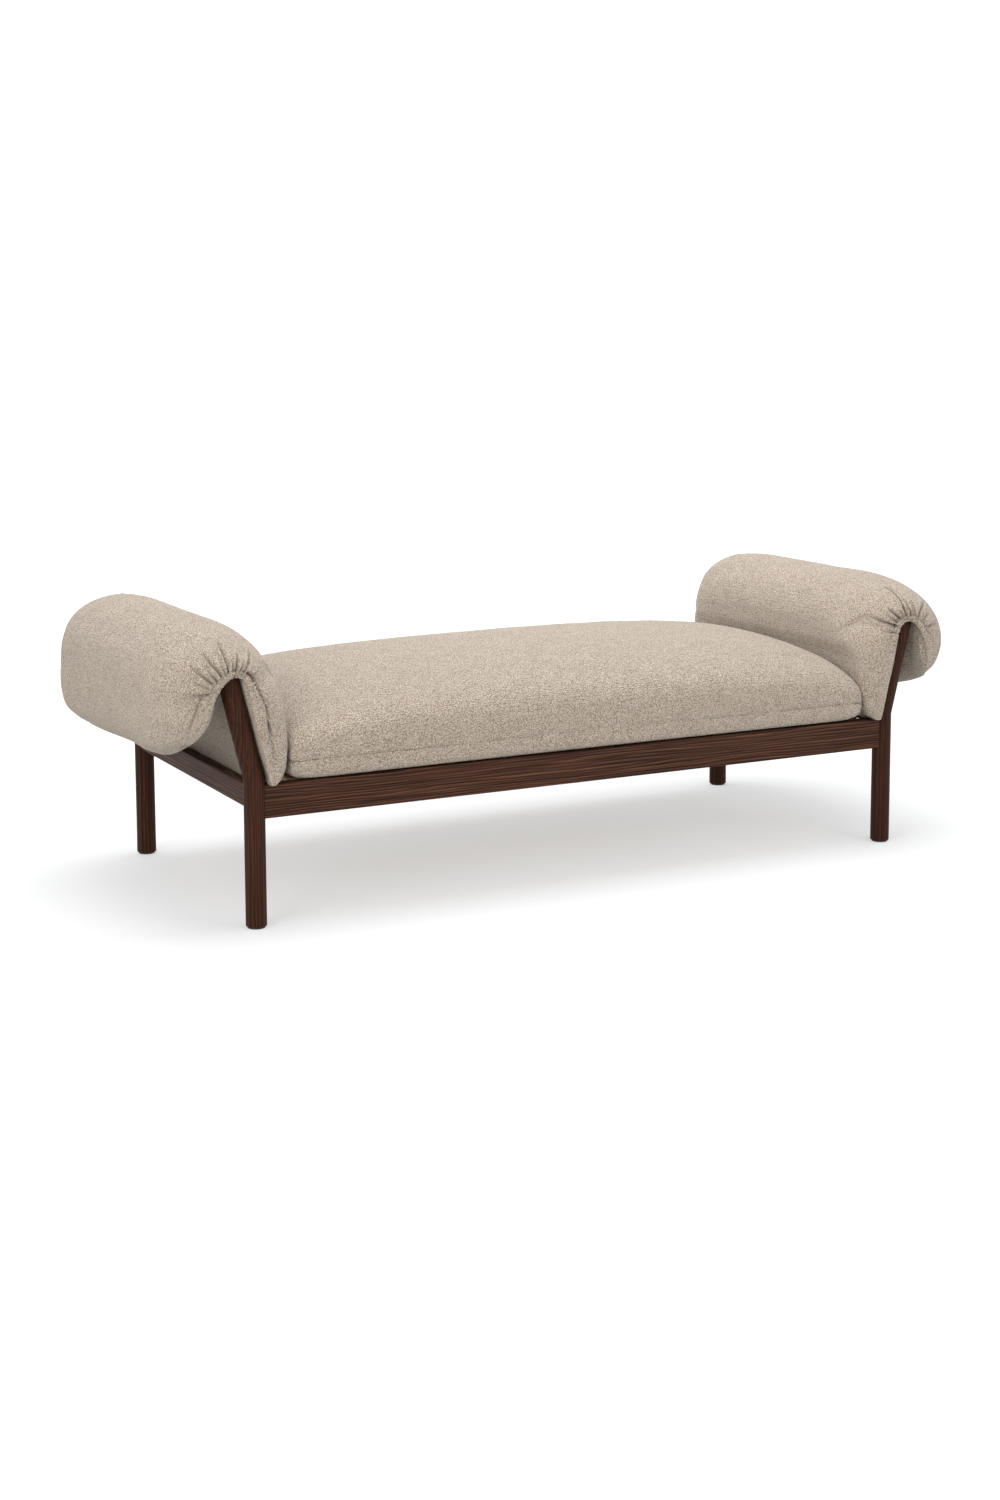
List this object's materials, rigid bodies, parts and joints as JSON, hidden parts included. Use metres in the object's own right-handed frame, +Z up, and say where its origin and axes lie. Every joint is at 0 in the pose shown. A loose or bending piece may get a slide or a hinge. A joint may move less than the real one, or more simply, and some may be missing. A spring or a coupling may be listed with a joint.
{
  "type": "daybed",
  "caption": "Backless wooden daybed with a loose padded seat cushion and a gathered saddle bolster draped over the crossbar at each end.",
  "frame": {"origin": "middle of the footprint, on the floor under the foot glides", "axes": "+X along the length towards the right end as seen from the front, +Y to the back, +Z up"},
  "size_m": [2.0166, 0.805, 0.6401],
  "materials": {
    "frame_wood": "dark espresso stain on open-grained ash, satin",
    "slat_wood": "unfinished pale wood",
    "dowel_wood": "plain beech",
    "zinc_steel": "zinc plated",
    "glide_plastic": "hard matt",
    "cover_fabric": "oatmeal boucle weave",
    "fibre": "polyester fibre",
    "foam": "open-cell foam",
    "zip_tape": "woven tape",
    "zip_metal": "dull nickel",
    "elastic": "fabric covered"
  },
  "bodies": {
    "frame": {"leg_front_left": "frame_wood", "leg_front_right": "frame_wood", "leg_back_left": "frame_wood", "leg_back_right": "frame_wood", "post_front_left": "frame_wood", "post_front_right": "frame_wood", "post_back_left": "frame_wood", "post_back_right": "frame_wood", "crossbar_left": "frame_wood", "end_rail_left": "frame_wood", "crossbar_right": "frame_wood", "end_rail_right": "frame_wood", "side_rail_front": "frame_wood", "ledger_front": "slat_wood", "side_rail_back": "frame_wood", "ledger_back": "slat_wood", "slat_01": "slat_wood", "slat_02": "slat_wood", "slat_03": "slat_wood", "slat_04": "slat_wood", "slat_05": "slat_wood", "slat_06": "slat_wood", "slat_07": "slat_wood", "slat_08": "slat_wood", "slat_09": "slat_wood", "slat_10": "slat_wood", "slat_11": "slat_wood", "slat_12": "slat_wood", "slat_13": "slat_wood", "slat_14": "slat_wood", "mitre_dowels": "dowel_wood", "side_rail_dowels": "dowel_wood", "end_rail_dowels": "dowel_wood", "corner_bracket_front_left": "zinc_steel", "corner_bracket_front_right": "zinc_steel", "corner_bracket_back_left": "zinc_steel", "corner_bracket_back_right": "zinc_steel", "hanger_bolts": "zinc_steel", "bracket_washers": "zinc_steel", "bracket_nuts": "zinc_steel", "bracket_screws": "zinc_steel", "ledger_screws": "zinc_steel", "slat_screws": "zinc_steel", "foot_glide_front_left": "glide_plastic", "foot_glide_front_right": "glide_plastic", "foot_glide_back_left": "glide_plastic", "foot_glide_back_right": "glide_plastic"},
    "seat_cushion": {"seat_cover": "cover_fabric", "seat_fibre_wrap": "fibre", "seat_foam_core": "foam", "seat_zip": "zip_tape"},
    "zip_slider_body": {"zip_slider": "zip_metal"},
    "bolster_left": {"bolster_cover_left": "cover_fabric", "bolster_fill_left": "fibre", "bolster_drawcord_left": "elastic"},
    "bolster_right": {"bolster_cover_right": "cover_fabric", "bolster_fill_right": "fibre", "bolster_drawcord_right": "elastic"}
  },
  "joints": [
    {"name": "seat_lift", "type": "slide", "parent": "frame", "child": "seat_cushion", "axis": [0, 0, 1], "range_m": [0, 0.36]},
    {"name": "bolster_left_lift", "type": "slide", "parent": "frame", "child": "bolster_left", "axis": [0, 0, 1], "range_m": [0, 0.3]},
    {"name": "bolster_right_lift", "type": "slide", "parent": "frame", "child": "bolster_right", "axis": [0, 0, 1], "range_m": [0, 0.3]},
    {"name": "zip_slide", "type": "slide", "parent": "seat_cushion", "child": "zip_slider_body", "axis": [1, 0, 0], "range_m": [-0.872, 0]}
  ]
}
